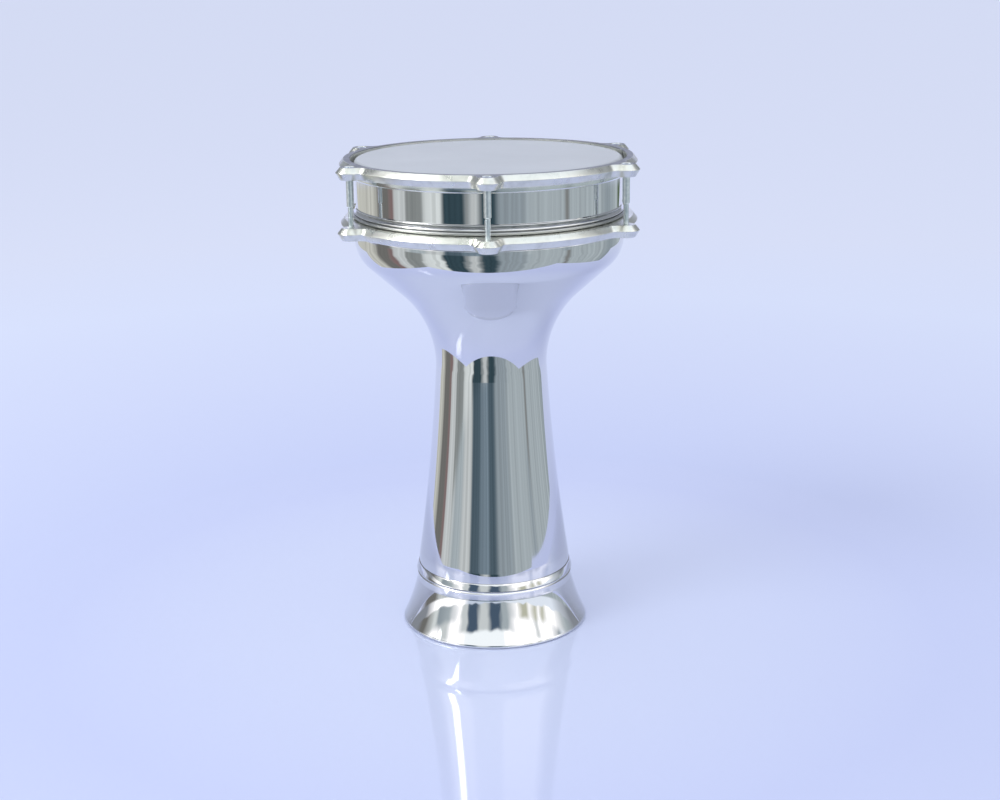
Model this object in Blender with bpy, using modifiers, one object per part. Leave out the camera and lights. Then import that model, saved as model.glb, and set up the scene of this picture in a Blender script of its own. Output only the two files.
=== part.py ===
"""Goblet drum with a tension ring, six bolts and a plastic head.

Metres, +Z up. The origin is the middle of the foot's rim on the floor, and one ear of each
ring points to -Y. Turned pieces share one number of sides and one phase, so that the gaps
between them stay even all the way round.
"""

import math

import bmesh
import bpy

# Fits and facets
GAP = 0.0003                 # between pieces that touch on the real drum
SIDES = 40                   # round the axis of every large turned piece
BOLT_SIDES = 16

# Sheet metal body, outer sizes
SHEET = 0.0015
FOOT_RADIUS = 0.0832
FOOT_EDGE_ROUND = 0.0018
FOOT_LIP_WIDTH = 0.0055      # rim turned in under the foot
FLARE_HEIGHT = 0.0405
FLARE_STEEPNESS = 0.62       # 1 is a straight cone, less flares out towards the floor
FOOT_LAND_HEIGHT = 0.0048
FOOT_GROOVE_HEIGHT = 0.0028
FOOT_GROOVE_DEPTH = 0.0009
FOOT_BEAD_HEIGHT = 0.0066
FOOT_BEAD_PROUD = 0.0007      # its lowest edge, outside the wall below it
FOOT_BEAD_SLOPE = 0.0018      # how much wider it gets towards the floor
FOOT_BEAD_TURN = 0.0007       # height of the turn in under that edge
STEM_END_RADIUS = 0.0678
STEM_LAND_HEIGHT = 0.0055    # straight stretch of stem above the foot's bead
STEM_LENGTH = 0.1775         # from the top of that stretch to the neck
STEM_STRAIGHTNESS = 0.55     # 1 is a straight taper, less curves out towards the foot
NECK_RADIUS = 0.0488
NECK_CURVE = 0.088           # radius of the hollow curve from neck to bowl
BOWL_SLOPE = math.radians(48)
BOWL_HEIGHT = 0.1130         # from the neck to the widest place of the bowl
BOWL_OVERHANG = 0.0021       # how far that place stands outside the collar
SHOULDER_CURVE = 0.030       # radius of the bowl's round shoulder
THROAT_LAND = 0.00654        # straight wall above the widest place
THROAT_CURVE = 0.0024        # radius of the turn in under the lower ring
COLLAR_RADIUS = 0.1139
THROAT_HEIGHT = 0.0086       # straight stretch that the lower ring sits round
SPIGOT_HEIGHT = 0.0150       # bowl rim inside the collar
COLLAR_HEIGHT = 0.05003
BEARING_EDGE_ROUND = 0.0030
BEARING_LIP_DEPTH = 0.0030

# Beads and stop wire above the lower ring
STOP_WIRE = 0.0030           # diameter
MAIN_BEAD_HEIGHT = 0.0030
MAIN_BEAD_PROUD = 0.0019
FINE_BEAD_HEIGHT = 0.0016
FINE_BEAD_PROUD = 0.0008
BEAD_SPACING = 0.0011        # plain wall between the two beads

# Head
FILM = 0.00035
HOOP_WIDTH = 0.00275
HOOP_HEIGHT = 0.0050
HOOP_ROUND = 0.0009
HEM_SETBACK = 0.0006         # the film's edge stops short of the hoop's underside

# The two cast rings
RING_DEPTH = 0.0134          # from the collar out to the sharp middle edge
RING_UPPER_BEVEL = 0.0037
RING_UPPER_HEIGHT = 0.0045
RING_LOWER_BEVEL = 0.0035
RING_LOWER_HEIGHT = 0.0059
RING_PROUD = 0.0008          # top ring's face above the head
HOOP_CLEARANCE = 0.0004      # between the hoop's rim and the top ring's bore
FLANGE_HEIGHT = 0.0026       # inner flange that presses on the hoop
EARS = 6
BOLT_SETOUT = 0.0034         # from the ring's sharp edge out to the bolts' axes
EAR_RADIUS = 0.0115
EAR_FILLET = 0.0060

# Tension bolts and washers
SHANK_RADIUS = 0.0031
THREAD_RADIUS = 0.0024
SHOULDER_CHAMFER = 0.0006
THREAD_CHAMFER = 0.0005
SHANK_REACH = 0.0225         # from the top ring's underside down to the shoulder
THREAD_ENGAGED = 0.0087      # inside the lower ear
HEAD_RADIUS = 0.0045
HEAD_HEIGHT = 0.0038
HEAD_CHAMFER = 0.0004
SOCKET_FLATS = 0.0040
SOCKET_DEPTH = 0.0022
HEAD_RECESS = 0.0003         # bolt head below the ring's top face
WASHER_RADIUS = 0.0046
WASHER_THICKNESS = 0.0009

# Radii worked out from the sizes above
BOWL_RADIUS = COLLAR_RADIUS + BOWL_OVERHANG
RING_RIM_RADIUS = COLLAR_RADIUS + RING_DEPTH
BOLT_CIRCLE = RING_RIM_RADIUS + BOLT_SETOUT
SOCKET_RADIUS = STEM_END_RADIUS + GAP
FOOT_WALL_RADIUS = SOCKET_RADIUS + SHEET
SPIGOT_RADIUS = COLLAR_RADIUS - SHEET - GAP
FILM_INNER = COLLAR_RADIUS + GAP
FILM_OUTER = FILM_INNER + FILM
HOOP_INNER = FILM_OUTER + GAP
TOP_RING_BORE = HOOP_INNER + HOOP_WIDTH + HOOP_CLEARANCE
FLANGE_BORE = FILM_OUTER + GAP
LOWER_RING_BORE = COLLAR_RADIUS + GAP
BOLT_HOLE_RADIUS = SHANK_RADIUS + GAP
TAPPED_RADIUS = THREAD_RADIUS + GAP
COUNTERBORE_RADIUS = WASHER_RADIUS + GAP

# Heights worked out from the sizes above
LAND_Z = FLARE_HEIGHT + FOOT_LAND_HEIGHT
GROOVE_TOP_Z = LAND_Z + FOOT_GROOVE_HEIGHT
STEM_END_Z = GROOVE_TOP_Z + GAP
FOOT_TOP_Z = GROOVE_TOP_Z + FOOT_BEAD_HEIGHT
STEM_FOOT_Z = FOOT_TOP_Z + STEM_LAND_HEIGHT
NECK_Z = STEM_FOOT_Z + STEM_LENGTH
BOWL_Z = NECK_Z + BOWL_HEIGHT
THROAT_ANGLE = math.acos(1 - (BOWL_RADIUS - COLLAR_RADIUS) / THROAT_CURVE)
THROAT_Z = BOWL_Z + THROAT_LAND + THROAT_CURVE * math.sin(THROAT_ANGLE)
COLLAR_Z = THROAT_Z + THROAT_HEIGHT
COLLAR_TOP_Z = COLLAR_Z + GAP + COLLAR_HEIGHT
HEAD_Z = COLLAR_TOP_Z + GAP + FILM
TOP_Z = HEAD_Z + RING_PROUD
RING_HEIGHT = RING_UPPER_HEIGHT + RING_LOWER_HEIGHT
TOP_RING_Z = TOP_Z - RING_HEIGHT
HOOP_Z = TOP_RING_Z - GAP - HOOP_HEIGHT
HEM_Z = HOOP_Z + HEM_SETBACK
LOWER_RING_Z = THROAT_Z
STOP_WIRE_Z = LOWER_RING_Z + RING_HEIGHT + GAP + STOP_WIRE / 2
MAIN_BEAD_Z = STOP_WIRE_Z + STOP_WIRE / 2 + GAP
FINE_BEAD_Z = MAIN_BEAD_Z + MAIN_BEAD_HEIGHT + BEAD_SPACING

# Places along a bolt
BOLT_TOP_Z = TOP_Z - HEAD_RECESS
HEAD_SEAT_Z = BOLT_TOP_Z - HEAD_HEIGHT
WASHER_Z = HEAD_SEAT_Z - GAP - WASHER_THICKNESS
COUNTERBORE_Z = WASHER_Z - GAP
SHOULDER_Z = TOP_RING_Z - SHANK_REACH
BOLT_END_Z = LOWER_RING_Z + RING_HEIGHT - THREAD_ENGAGED
EAR_ANGLES = [math.radians(-90 + 360 / EARS * i) for i in range(EARS)]


def clear_scene():
    for obj in list(bpy.data.objects):
        bpy.data.objects.remove(obj, do_unlink=True)


def new_collection(name):
    collection = bpy.data.collections.new(name)
    bpy.context.scene.collection.children.link(collection)
    return collection


def new_material(name, color, roughness, metallic):
    material = bpy.data.materials.new(name)
    material.use_nodes = True
    shader = material.node_tree.nodes["Principled BSDF"]
    shader.inputs["Base Color"].default_value = (*color, 1)
    shader.inputs["Roughness"].default_value = roughness
    shader.inputs["Metallic"].default_value = metallic
    return material


def new_object(name, mesh, collection, material=None):
    obj = bpy.data.objects.new(name, mesh)
    collection.objects.link(obj)
    if material and not mesh.materials:
        mesh.materials.append(material)
    return obj


def arc(center_r, center_z, radius, start, end, count):
    """Points (r, z) on an arc, angles in radians from +r towards +z."""
    step = (end - start) / count
    return [
        (center_r + radius * math.cos(start + step * i), center_z + radius * math.sin(start + step * i))
        for i in range(count + 1)
    ]


def turned(name, profile, collection, material=None, sides=SIDES):
    """A solid turned from a profile that runs down its outside and back up its inside."""
    mesh = bpy.data.meshes.new(name)
    last = len(profile) - 1
    edges = [(i, i + 1) for i in range(last)]
    if profile[0][0] > 0 or profile[last][0] > 0:
        edges.append((last, 0))
    mesh.from_pydata([(r, 0, z) for r, z in profile], edges, [])
    obj = new_object(name, mesh, collection, material)
    screw = obj.modifiers.new("Turn", "SCREW")
    screw.angle = math.tau
    screw.steps = sides
    screw.render_steps = sides
    screw.use_merge_vertices = True
    screw.merge_threshold = 0.00001
    screw.use_smooth_shade = True
    return obj


def evaluated_mesh(obj, name):
    """The mesh of an object with its modifiers, for pieces made in several copies."""
    depsgraph = bpy.context.evaluated_depsgraph_get()
    mesh = bpy.data.meshes.new_from_object(obj.evaluated_get(depsgraph), depsgraph=depsgraph)
    mesh.name = name
    return mesh


def cut(obj, cutter):
    cutter.hide_render = True
    cutter.display_type = "WIRE"
    boolean = obj.modifiers.new("Cut", "BOOLEAN")
    boolean.operation = "DIFFERENCE"
    boolean.object = cutter


def foot_path(inset, flare_steps, groove_depth):
    """Foot wall from the groove down to the floor's edge, set in by inset."""
    wall = FOOT_WALL_RADIUS - inset
    points = [
        (wall, GROOVE_TOP_Z),
        (wall - groove_depth, (GROOVE_TOP_Z + LAND_Z) / 2),
        (wall, LAND_Z),
    ]
    spread = FOOT_RADIUS - FOOT_WALL_RADIUS
    drop = FLARE_HEIGHT - FOOT_EDGE_ROUND
    for i in range(flare_steps + 1):
        t = i / flare_steps
        flare = FLARE_STEEPNESS * t + (1 - FLARE_STEEPNESS) * t * t
        points.append((wall + spread * flare, FLARE_HEIGHT - drop * t))
    return points


def foot_shell(parts, material):
    bead_edge = FOOT_WALL_RADIUS + FOOT_BEAD_PROUD
    outside = [
        (bead_edge - FOOT_BEAD_SLOPE, FOOT_TOP_Z),
        (bead_edge, GROOVE_TOP_Z + FOOT_BEAD_TURN),
    ]
    outside += foot_path(0, 5, FOOT_GROOVE_DEPTH)
    outside += arc(
        FOOT_RADIUS - FOOT_EDGE_ROUND, FOOT_EDGE_ROUND, FOOT_EDGE_ROUND, 0, -math.pi / 2, 3
    )[1:]
    lip_end = FOOT_RADIUS - FOOT_EDGE_ROUND - FOOT_LIP_WIDTH
    lip = [(lip_end, 0), (lip_end, SHEET), (FOOT_RADIUS - FOOT_EDGE_ROUND, SHEET)]
    inside = foot_path(SHEET, 3, FOOT_GROOVE_DEPTH)[::-1][1:]
    profile = outside + lip + inside + [(SOCKET_RADIUS, FOOT_TOP_Z)]
    return turned("foot_shell", profile, parts, material)


def bowl_path(inset, throat_steps, shoulder_steps, neck_steps, stem_steps):
    """Bowl, neck and stem from the throat under the lower ring down to the stem's end."""
    quarter = math.pi / 2
    land_top = BOWL_Z + THROAT_LAND
    points = arc(
        BOWL_RADIUS - THROAT_CURVE, land_top, THROAT_CURVE - inset, THROAT_ANGLE, 0, throat_steps
    )
    points += arc(
        BOWL_RADIUS - SHOULDER_CURVE, BOWL_Z, SHOULDER_CURVE - inset, 0, -BOWL_SLOPE, shoulder_steps
    )
    points += arc(
        NECK_RADIUS + NECK_CURVE,
        NECK_Z,
        NECK_CURVE + inset,
        2 * quarter - BOWL_SLOPE,
        2 * quarter,
        neck_steps,
    )
    spread = STEM_END_RADIUS - NECK_RADIUS
    for i in range(1, stem_steps + 1):
        t = i / stem_steps
        taper = STEM_STRAIGHTNESS * t + (1 - STEM_STRAIGHTNESS) * t * t
        points.append((NECK_RADIUS - inset + spread * taper, NECK_Z - STEM_LENGTH * t))
    points.append((STEM_END_RADIUS - inset, STEM_END_Z))
    return points


def body_shell(parts, material):
    spigot_top = COLLAR_Z + SPIGOT_HEIGHT
    outside = [(SPIGOT_RADIUS, spigot_top), (SPIGOT_RADIUS, COLLAR_Z), (COLLAR_RADIUS, COLLAR_Z)]
    outside += bowl_path(0, 2, 5, 5, 6)
    step_in = SHEET + GAP
    inside = bowl_path(SHEET, 1, 3, 3, 3)[::-1]
    inside += [
        (COLLAR_RADIUS - SHEET, THROAT_Z - SHEET),
        (COLLAR_RADIUS - SHEET, COLLAR_Z - step_in),
        (SPIGOT_RADIUS - SHEET, COLLAR_Z),
        (SPIGOT_RADIUS - SHEET, spigot_top),
    ]
    return turned("body_shell", outside + inside, parts, material)


def bead(base_z, height, proud, count):
    """Half wave of a rolled bead on the collar's wall, from its top down."""
    points = []
    for i in range(count + 1):
        t = i / count
        points.append((COLLAR_RADIUS + proud * math.sin(math.pi * t), base_z + height * (1 - t)))
    return points


def collar_shell(parts, material):
    edge = BEARING_EDGE_ROUND
    edge_r = COLLAR_RADIUS - edge
    edge_z = COLLAR_TOP_Z - edge
    lip_z = edge_z - BEARING_LIP_DEPTH
    fold = arc(edge_r, edge_z, edge, math.pi, 0, 6)
    fold_inside = arc(edge_r, edge_z, edge - SHEET, 0, math.pi, 4)
    outside = [(edge_r - edge, lip_z)] + fold
    outside += bead(FINE_BEAD_Z, FINE_BEAD_HEIGHT, FINE_BEAD_PROUD, 2)
    outside += bead(MAIN_BEAD_Z, MAIN_BEAD_HEIGHT, MAIN_BEAD_PROUD, 4)
    outside += [(COLLAR_RADIUS, COLLAR_Z + GAP)]
    inside = [(COLLAR_RADIUS - SHEET, COLLAR_Z + GAP)] + fold_inside
    inside += [(edge_r - edge + SHEET, lip_z)]
    return turned("collar_shell", outside + inside, parts, material)


def stop_wire(parts, material):
    center = COLLAR_RADIUS + GAP + STOP_WIRE / 2
    section = arc(center, STOP_WIRE_Z, STOP_WIRE / 2, math.pi, -math.pi, 8)[:-1]
    return turned("stop_wire", section, parts, material)


def head_film(parts, material):
    edge_r = COLLAR_RADIUS - BEARING_EDGE_ROUND
    edge_z = COLLAR_TOP_Z - BEARING_EDGE_ROUND
    bend = BEARING_EDGE_ROUND + GAP
    quarter = math.pi / 2
    outside = [(0, HEAD_Z)] + arc(edge_r, edge_z, bend + FILM, quarter, 0, 3)
    outside += [(FILM_OUTER, HEM_Z), (FILM_INNER, HEM_Z)]
    inside = arc(edge_r, edge_z, bend, 0, quarter, 3) + [(0, HEAD_Z - FILM)]
    return turned("head_film", outside + inside, parts, material)


def head_hoop(parts, material):
    """Its top takes the ring's flange, and its inside is crimped on the film's skirt."""
    top = HOOP_Z + HOOP_HEIGHT
    outer = HOOP_INNER + HOOP_WIDTH
    profile = [
        (HOOP_INNER, top),
        (outer - HOOP_ROUND, top),
        (outer, top - HOOP_ROUND),
        (outer, HOOP_Z + HOOP_ROUND),
        (outer - HOOP_ROUND, HOOP_Z),
        (HOOP_INNER, HOOP_Z),
    ]
    return turned("head_hoop", profile, parts, material)


def ear_outline(grow):
    """Ring outline with an ear at each bolt, parallel to the rim and set out by grow."""
    rim = RING_RIM_RADIUS + grow
    ear = EAR_RADIUS + grow
    fillet = EAR_FILLET - grow
    to_fillet = RING_RIM_RADIUS + EAR_FILLET
    ear_to_fillet = EAR_RADIUS + EAR_FILLET
    side = to_fillet**2 + BOLT_CIRCLE**2 - ear_to_fillet**2
    swing = math.acos(side / (2 * to_fillet * BOLT_CIRCLE))
    across = to_fillet * math.sin(swing)
    along = to_fillet * math.cos(swing) - BOLT_CIRCLE
    lean = math.atan2(across, along)
    sector = math.tau / EARS
    half = []
    for i in range(6):
        angle = lean * i / 5
        half.append((BOLT_CIRCLE + ear * math.cos(angle), ear * math.sin(angle)))
    for i in range(1, 5):
        angle = lean + math.pi + (swing - lean) * i / 4
        half.append((
            BOLT_CIRCLE + along + fillet * math.cos(angle),
            across + fillet * math.sin(angle),
        ))
    for i in range(1, 4):
        angle = swing + (sector / 2 - swing) * i / 3
        half.append((rim * math.cos(angle), rim * math.sin(angle)))
    left = [(x, -y) for x, y in half[1:-1]][::-1]
    outline = []
    for angle in EAR_ANGLES:
        c, s = math.cos(angle), math.sin(angle)
        outline += [(x * c - y * s, x * s + y * c) for x, y in left + half]
    return outline


def ring_blank(name, base_z, parts, material):
    """The cast ring before it is bored: a flat face, a bevel out, a bevel in, a flat face."""
    levels = [
        (-RING_LOWER_BEVEL, base_z),
        (0, base_z + RING_LOWER_HEIGHT),
        (-RING_UPPER_BEVEL, base_z + RING_HEIGHT),
    ]
    bm = bmesh.new()
    loops = []
    for grow, z in levels:
        verts = [bm.verts.new((x, y, z)) for x, y in ear_outline(grow)]
        loops.append([bm.edges.new((verts[i - 1], verts[i])) for i in range(len(verts))])
    for lower, upper in zip(loops, loops[1:]):
        bmesh.ops.bridge_loops(bm, edges=lower + upper)
    bmesh.ops.contextual_create(bm, geom=loops[0])
    bmesh.ops.contextual_create(bm, geom=loops[-1])
    bmesh.ops.recalc_face_normals(bm, faces=bm.faces)
    mesh = bpy.data.meshes.new(name)
    bm.to_mesh(mesh)
    bm.free()
    return new_object(name, mesh, parts, material)


def bolt_hole_cutter(name, profile, cutters):
    """One cutter with a turned plug at every bolt."""
    plug = turned(name + "_plug", profile, cutters, sides=BOLT_SIDES)
    plug_mesh = evaluated_mesh(plug, name + "_plug")
    bpy.data.objects.remove(plug)
    bm = bmesh.new()
    for angle in EAR_ANGLES:
        before = set(bm.verts)
        bm.from_mesh(plug_mesh)
        added = [v for v in bm.verts if v not in before]
        offset = (BOLT_CIRCLE * math.cos(angle), BOLT_CIRCLE * math.sin(angle), 0)
        bmesh.ops.translate(bm, verts=added, vec=offset)
    mesh = bpy.data.meshes.new(name)
    bm.to_mesh(mesh)
    bm.free()
    return new_object(name, mesh, cutters)


def top_ring(parts, cutters, material):
    ring = ring_blank("top_ring", TOP_RING_Z, parts, material)
    flange_top = TOP_RING_Z + FLANGE_HEIGHT
    over = RING_HEIGHT
    bore = turned(
        "top_ring_bore",
        [
            (0, TOP_Z + over),
            (TOP_RING_BORE, TOP_Z + over),
            (TOP_RING_BORE, flange_top),
            (FLANGE_BORE, flange_top),
            (FLANGE_BORE, TOP_RING_Z - over),
            (0, TOP_RING_Z - over),
        ],
        cutters,
    )
    holes = bolt_hole_cutter(
        "top_ring_holes",
        [
            (0, TOP_Z + over),
            (COUNTERBORE_RADIUS, TOP_Z + over),
            (COUNTERBORE_RADIUS, COUNTERBORE_Z),
            (BOLT_HOLE_RADIUS, COUNTERBORE_Z),
            (BOLT_HOLE_RADIUS, TOP_RING_Z - over),
            (0, TOP_RING_Z - over),
        ],
        cutters,
    )
    cut(ring, bore)
    cut(ring, holes)
    return ring


def lower_ring(parts, cutters, material):
    ring = ring_blank("lower_ring", LOWER_RING_Z, parts, material)
    top = LOWER_RING_Z + 2 * RING_HEIGHT
    bottom = LOWER_RING_Z - RING_HEIGHT
    bore = turned(
        "lower_ring_bore",
        [(0, top), (LOWER_RING_BORE, top), (LOWER_RING_BORE, bottom), (0, bottom)],
        cutters,
    )
    holes = bolt_hole_cutter(
        "lower_ring_holes",
        [(0, top), (TAPPED_RADIUS, top), (TAPPED_RADIUS, bottom), (0, bottom)],
        cutters,
    )
    cut(ring, bore)
    cut(ring, holes)
    return ring


def bolt_mesh(cutters):
    """Shoulder bolt with a hexagon socket, upright on the origin, at its own height."""
    core = turned(
        "bolt_core",
        [
            (0, BOLT_TOP_Z),
            (HEAD_RADIUS - HEAD_CHAMFER, BOLT_TOP_Z),
            (HEAD_RADIUS, BOLT_TOP_Z - HEAD_CHAMFER),
            (HEAD_RADIUS, HEAD_SEAT_Z),
            (SHANK_RADIUS, HEAD_SEAT_Z),
            (SHANK_RADIUS, SHOULDER_Z + SHOULDER_CHAMFER),
            (THREAD_RADIUS, SHOULDER_Z),
            (THREAD_RADIUS, BOLT_END_Z + THREAD_CHAMFER),
            (THREAD_RADIUS - THREAD_CHAMFER, BOLT_END_Z),
            (0, BOLT_END_Z),
        ],
        cutters,
        sides=BOLT_SIDES,
    )
    across_corners = SOCKET_FLATS / math.cos(math.pi / 6)
    bottom = BOLT_TOP_Z - SOCKET_DEPTH
    socket = turned(
        "bolt_socket",
        [
            (0, BOLT_TOP_Z + SOCKET_DEPTH),
            (across_corners / 2, BOLT_TOP_Z + SOCKET_DEPTH),
            (across_corners / 2, bottom),
            (0, bottom),
        ],
        cutters,
        sides=6,
    )
    cut(core, socket)
    mesh = evaluated_mesh(core, "tension_bolt")
    bpy.data.objects.remove(core)
    bpy.data.objects.remove(socket)
    return mesh


def washer_mesh(cutters):
    washer_top = WASHER_Z + WASHER_THICKNESS
    ring = turned(
        "washer_blank",
        [
            (BOLT_HOLE_RADIUS, washer_top),
            (WASHER_RADIUS, washer_top),
            (WASHER_RADIUS, WASHER_Z),
            (BOLT_HOLE_RADIUS, WASHER_Z),
        ],
        cutters,
        sides=BOLT_SIDES,
    )
    mesh = evaluated_mesh(ring, "bolt_washer")
    bpy.data.objects.remove(ring)
    return mesh


def fasteners(parts, cutters, material):
    """One bolt and one washer at every ear, each with its origin on the bolt's axis."""
    bolt = bolt_mesh(cutters)
    washer = washer_mesh(cutters)
    bolt.materials.append(material)
    washer.materials.append(material)
    for number, angle in enumerate(EAR_ANGLES, start=1):
        place = (BOLT_CIRCLE * math.cos(angle), BOLT_CIRCLE * math.sin(angle), 0)
        for name, mesh in (("tension_bolt", bolt), ("bolt_washer", washer)):
            obj = new_object(f"{name}_{number}", mesh, parts)
            obj.location = place


def main():
    clear_scene()
    parts = new_collection("goblet_drum")
    cutters = new_collection("cutters")
    nickel = new_material("polished_nickel_plate", (0.80, 0.79, 0.74), 0.06, 1.0)
    casting = new_material("polished_cast_aluminium", (0.88, 0.89, 0.90), 0.16, 1.0)
    steel = new_material("plated_steel", (0.72, 0.76, 0.78), 0.20, 1.0)
    hoop_metal = new_material("drawn_aluminium", (0.80, 0.81, 0.82), 0.28, 1.0)
    film = new_material("frosted_film", (0.56, 0.59, 0.66), 0.45, 0.0)
    foot_shell(parts, nickel)
    body_shell(parts, nickel)
    collar_shell(parts, nickel)
    stop_wire(parts, nickel)
    head_film(parts, film)
    head_hoop(parts, hoop_metal)
    lower_ring(parts, cutters, casting)
    top_ring(parts, cutters, casting)
    fasteners(parts, cutters, steel)


main()
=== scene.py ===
"""Looks of the goblet drum: a finer surface for every piece, materials, a pale table and soft light.

Metres, +Z up, the drum's foot on the floor at the origin. The sizes are the part's own.
"""

import math

import bmesh
import bpy
from mathutils import Matrix, Vector


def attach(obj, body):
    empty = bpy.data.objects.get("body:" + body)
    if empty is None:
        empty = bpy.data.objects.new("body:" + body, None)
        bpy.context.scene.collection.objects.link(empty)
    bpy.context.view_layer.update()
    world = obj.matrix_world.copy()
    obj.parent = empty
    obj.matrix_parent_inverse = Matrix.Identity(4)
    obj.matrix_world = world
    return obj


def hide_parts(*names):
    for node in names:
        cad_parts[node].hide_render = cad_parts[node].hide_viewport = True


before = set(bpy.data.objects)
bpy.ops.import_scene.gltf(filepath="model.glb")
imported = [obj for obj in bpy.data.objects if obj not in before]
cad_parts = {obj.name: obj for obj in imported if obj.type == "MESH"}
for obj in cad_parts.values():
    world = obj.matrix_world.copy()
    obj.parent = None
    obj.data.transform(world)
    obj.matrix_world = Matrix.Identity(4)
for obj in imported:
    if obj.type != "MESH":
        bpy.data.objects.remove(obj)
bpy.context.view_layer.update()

MM = 0.001
GAP = 0.3 * MM
SHEET = 1.5 * MM
TURN_STEPS = 240
BOLT_STEPS = 48
MERGE = 0.002 * MM
QUARTER = math.pi / 2

# Heights
FLARE_TOP_Z = 40.5 * MM
LAND_Z = 45.3 * MM
GROOVE_TOP_Z = 48.1 * MM
STEM_END_Z = GROOVE_TOP_Z + GAP
FOOT_TOP_Z = 54.7 * MM
STEM_FOOT_Z = 60.2 * MM
NECK_Z = 237.7 * MM
BOWL_Z = 350.7 * MM
COLLAR_TOP_Z = 418.55 * MM
HEAD_Z = 419.2 * MM
TOP_Z = 420.0 * MM
RING_HEIGHT = 10.4 * MM
TOP_RING_Z = TOP_Z - RING_HEIGHT

# Foot, stem, neck and bowl
FOOT_RADIUS = 83.2 * MM
FOOT_WALL = 69.6 * MM
FOOT_EDGE = 1.8 * MM
FOOT_LIP = 5.5 * MM
FLARE_CURL = 0.38
GROOVE_DEPTH = 0.9 * MM
STEM_END_RADIUS = 67.8 * MM
STEM_CURL = 0.45
NECK_RADIUS = 48.8 * MM
NECK_CURVE = 88 * MM
NECK_SLOPE = math.radians(48)
BOWL_RADIUS = 116.0 * MM
BOWL_SHOULDER = 30 * MM
SPIGOT_HEIGHT = 15 * MM

# Throat and collar, and the pieces that are set out from them
COLLAR_RADIUS = 113.9 * MM
COLLAR_EDGE = 3 * MM
COLLAR_FOLD = 3 * MM
THROAT_LAND = 6.54 * MM
THROAT_CURVE = 2.4 * MM
THROAT_ANGLE = math.acos(1 - (BOWL_RADIUS - COLLAR_RADIUS) / THROAT_CURVE)
THROAT_Z = BOWL_Z + THROAT_LAND + THROAT_CURVE * math.sin(THROAT_ANGLE)
COLLAR_Z = THROAT_Z + 8.6 * MM
LOWER_RING_Z = THROAT_Z
FILM = 0.35 * MM
FILM_INNER = COLLAR_RADIUS + GAP
FILM_OUTER = FILM_INNER + FILM
HOOP_INNER = FILM_OUTER + GAP
HOOP_OUTER = HOOP_INNER + 2.75 * MM
HOOP_HEIGHT = 5.0 * MM
HOOP_Z = TOP_RING_Z - GAP - HOOP_HEIGHT
SKIRT_END_Z = HOOP_Z + 0.6 * MM
STOP_WIRE = 3.0 * MM
STOP_WIRE_Z = LOWER_RING_Z + RING_HEIGHT + GAP + STOP_WIRE / 2
MAIN_BEAD_Z = STOP_WIRE_Z + STOP_WIRE / 2 + GAP
MAIN_BEAD_HEIGHT = 3.0 * MM
MAIN_BEAD_PROUD = 1.9 * MM
FINE_BEAD_Z = MAIN_BEAD_Z + 4.1 * MM
FINE_BEAD_HEIGHT = 1.6 * MM
FINE_BEAD_PROUD = 0.8 * MM

# Cast rings
RING_RIM = 127.3 * MM
RING_LAND = 9.0 * MM
RING_EDGE_HEIGHT = 5.9 * MM
LOWER_BEVEL = 3.5 * MM
UPPER_BEVEL = 3.7 * MM
WORN_EDGE = 0.45 * MM
BORE_EASE = 0.5 * MM
HEAD_HOLE_EASE = 0.4 * MM
FLANGE_THICKNESS = 2.6 * MM
BOLT_CIRCLE = 130.7 * MM
EAR_RADIUS = 11.5 * MM
EAR_FILLET = 6.0 * MM
EAR_ANGLES = [math.radians(-90 + 60 * i) for i in range(6)]

# Bolts and washers
BOLT_TOP_Z = TOP_Z - 0.3 * MM
HEAD_SEAT_Z = BOLT_TOP_Z - 3.8 * MM
WASHER = 0.9 * MM
WASHER_Z = HEAD_SEAT_Z - GAP - WASHER
COUNTERBORE_Z = WASHER_Z - GAP
SHOULDER_Z = TOP_RING_Z - 22.5 * MM
BOLT_END_Z = LOWER_RING_Z + RING_HEIGHT - 8.7 * MM
HEAD_RADIUS = 4.5 * MM
SHANK_RADIUS = 3.1 * MM
THREAD_RADIUS = 2.4 * MM
THREAD_PITCH = 0.8 * MM
THREAD_CORE = THREAD_RADIUS - 0.45 * MM
WASHER_RADIUS = 4.6 * MM
SOCKET_HALF_WIDTH = 2.0 * MM
SOCKET_DEPTH = 2.2 * MM
BOLT_TURN = 0.35


# Meshes

def arc(center_a, center_b, radius, start, end, count):
    """Points on an arc in a profile's (r, z) or an outline's (x, y). Angles are in radians from
    the first axis towards the second."""
    angles = [start + (end - start) / count * i for i in range(count + 1)]
    return [(center_a + radius * math.cos(a), center_b + radius * math.sin(a)) for a in angles]


def finish_mesh(bm, name, sharp_degrees=32):
    """A bmesh made into an object at the origin, shaded smooth between its sharp edges."""
    bmesh.ops.remove_doubles(bm, verts=bm.verts, dist=MERGE)
    bmesh.ops.dissolve_degenerate(bm, edges=bm.edges, dist=MERGE / 2)
    bmesh.ops.recalc_face_normals(bm, faces=bm.faces)
    mesh = bpy.data.meshes.new(name)
    bm.to_mesh(mesh)
    bm.free()
    mesh.shade_smooth()
    mesh.set_sharp_from_angle(angle=math.radians(sharp_degrees))
    obj = bpy.data.objects.new(name, mesh)
    bpy.context.scene.collection.objects.link(obj)
    return obj


def spin_profile(bm, profile, steps=TURN_STEPS, closed=True):
    """A profile of (r, z) points turned round the Z axis."""
    verts = [bm.verts.new((r, 0, z)) for r, z in profile]
    edges = [bm.edges.new(pair) for pair in zip(verts, verts[1:])]
    if closed:
        edges.append(bm.edges.new((verts[-1], verts[0])))
    bmesh.ops.spin(
        bm,
        geom=verts + edges,
        cent=(0, 0, 0),
        axis=(0, 0, 1),
        angle=math.tau,
        steps=steps,
        use_merge=True,
    )


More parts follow.
